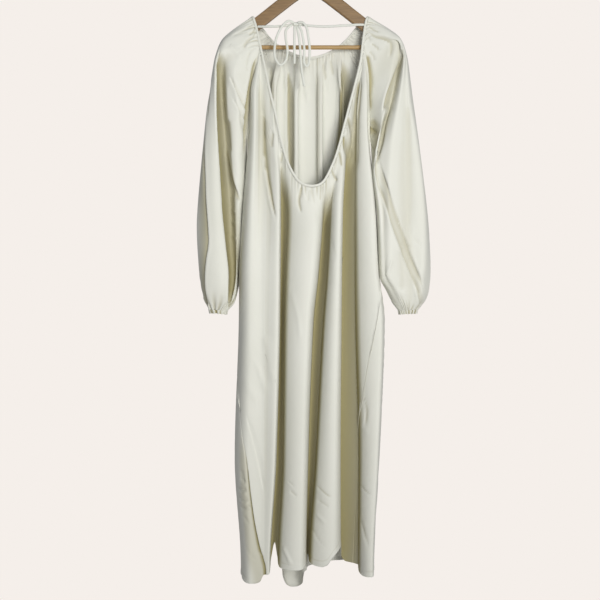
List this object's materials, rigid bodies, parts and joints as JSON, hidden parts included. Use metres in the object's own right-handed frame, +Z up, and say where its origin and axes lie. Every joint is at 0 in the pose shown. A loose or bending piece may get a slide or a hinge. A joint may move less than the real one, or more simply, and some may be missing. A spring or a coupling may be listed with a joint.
{
  "type": "maxi dress on a hanger",
  "caption": "Long ivory dress hung from a wooden hanger: deep scooped neck with a bow tie across it, gathered raglan balloon sleeves and a body falling in deep flutes.",
  "frame": {"origin": "the hook seat: the point inside the top of the hook where a rod carries it", "axes": "+Z up, +X across the dress to the right as the scooped side is seen, and -Y is the way the scooped side faces"},
  "size_m": [0.573, 0.1518, 1.5648],
  "materials": {
    "ivory_cloth": "smooth crepe with a soft sheen",
    "tie_cloth": "narrow sewn tubes of the same crepe",
    "wood": "satin lacquer",
    "steel": "bright plated wire"
  },
  "bodies": {
    "root": {"front_panel": "ivory_cloth", "back_panel": "ivory_cloth", "sleeve_left": "ivory_cloth", "sleeve_right": "ivory_cloth", "cuff_left": "ivory_cloth", "cuff_right": "ivory_cloth", "neck_binding": "ivory_cloth", "bow_knot": "tie_cloth", "tie_left": "tie_cloth", "tie_right": "tie_cloth", "bow_loop_left": "tie_cloth", "bow_loop_right": "tie_cloth", "bow_tail_short": "tie_cloth", "bow_tail_long": "tie_cloth", "hanger_frame": "wood", "hanger_bar": "wood", "hanger_hook": "steel"}
  },
  "joints": []
}
